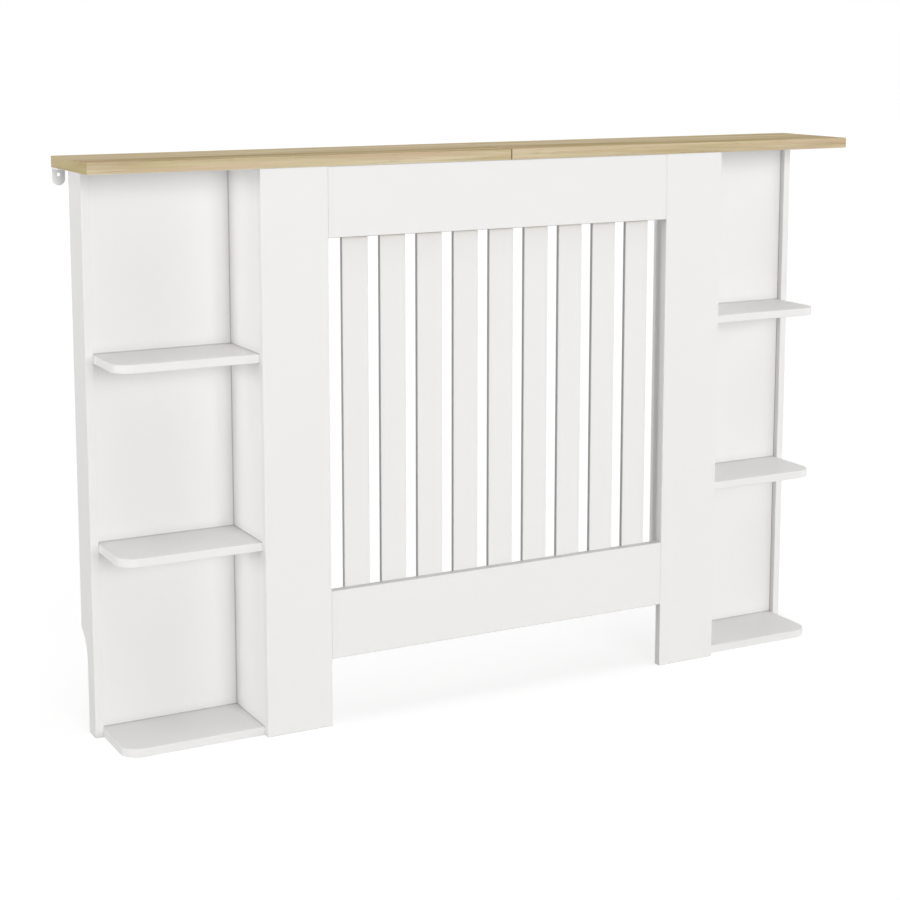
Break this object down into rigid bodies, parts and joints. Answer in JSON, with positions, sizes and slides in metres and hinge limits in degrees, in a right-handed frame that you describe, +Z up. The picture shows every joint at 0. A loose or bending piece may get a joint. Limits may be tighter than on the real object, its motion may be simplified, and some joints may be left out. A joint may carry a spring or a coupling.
{
  "type": "radiator cover cabinet",
  "caption": "Wall-standing radiator cover: upright slats in a front frame, open shelf bays at both ends, wood-effect worktop in two boards, skirting cut-outs and wall brackets.",
  "frame": {"origin": "on the floor, at the middle of the worktop's footprint", "axes": "+X to the right along the wall, seen from the front; the front faces -Y and the wall is at +Y; +Z up"},
  "size_m": [1.244, 0.165, 0.82],
  "materials": {
    "oak_board": "matt printed oak grain, running along the worktop",
    "white_frame": "matt white foil on fibreboard",
    "white_slats": "matt white foil on fibreboard",
    "white_panels": "matt white foil on fibreboard",
    "white_shelves": "matt white foil on fibreboard",
    "bracket_enamel": "white powder coat",
    "zinc_plate": "zinc-plated",
    "screw_steel": "zinc-plated",
    "beech_dowel": "raw beech"
  },
  "bodies": {
    "root": {"worktop_left": "oak_board", "worktop_right": "oak_board", "stile_left": "white_frame", "stile_right": "white_frame", "rail_top": "white_frame", "rail_bottom": "white_frame", "slat_1": "white_slats", "slat_2": "white_slats", "slat_3": "white_slats", "slat_4": "white_slats", "slat_5": "white_slats", "slat_6": "white_slats", "slat_7": "white_slats", "slat_8": "white_slats", "slat_9": "white_slats", "batten_left": "white_panels", "batten_right": "white_panels", "side_panel_left": "white_panels", "side_panel_right": "white_panels", "bay_panel_left": "white_panels", "bay_panel_right": "white_panels", "end_panel_left": "white_panels", "end_panel_right": "white_panels", "shelf_left_top": "white_shelves", "shelf_left_middle": "white_shelves", "shelf_left_bottom": "white_shelves", "shelf_right_top": "white_shelves", "shelf_right_middle": "white_shelves", "shelf_right_bottom": "white_shelves", "wall_bracket_left": "bracket_enamel", "wall_bracket_right": "bracket_enamel", "tie_plate": "zinc_plate", "worktop_angles": "zinc_plate", "slat_screws": "screw_steel", "batten_screws": "screw_steel", "shelf_screws": "screw_steel", "fitting_screws": "screw_steel", "rail_dowels": "beech_dowel", "stile_dowels": "beech_dowel", "bay_dowels": "beech_dowel", "end_dowels": "beech_dowel", "seam_dowels": "beech_dowel"}
  },
  "joints": []
}
